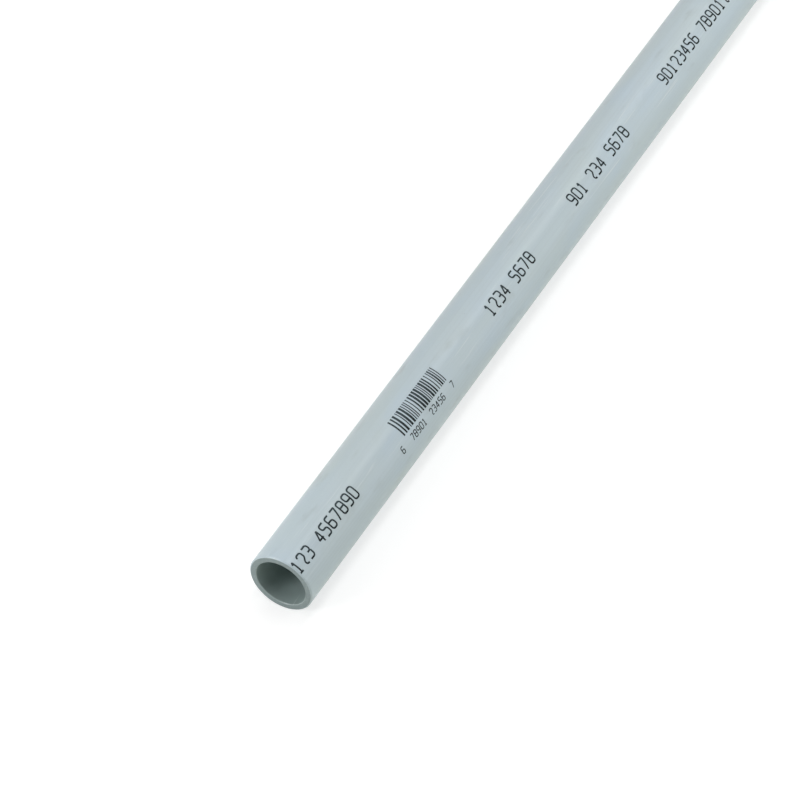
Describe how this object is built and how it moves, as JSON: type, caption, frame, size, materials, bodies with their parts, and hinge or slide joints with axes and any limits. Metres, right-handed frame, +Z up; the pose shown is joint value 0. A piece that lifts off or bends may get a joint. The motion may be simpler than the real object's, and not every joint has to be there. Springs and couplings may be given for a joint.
{
  "type": "pvc conduit pipe",
  "caption": "Straight grey rigid PVC electrical conduit with one plain cut end and one end belled into a socket for the next length.",
  "frame": {"origin": "on the floor that the conduit lies on, under the middle of its length", "axes": "+X along the conduit towards its belled end, +Z up; the conduit's own axis is level, above the X axis by half the bell's outside diameter"},
  "size_m": [3.048, 0.0316, 0.0317],
  "materials": {
    "rigid_pvc": "extruded rigid PVC, pale blue-grey, satin"
  },
  "bodies": {
    "root": {"conduit_pipe": "rigid_pvc"}
  },
  "joints": []
}
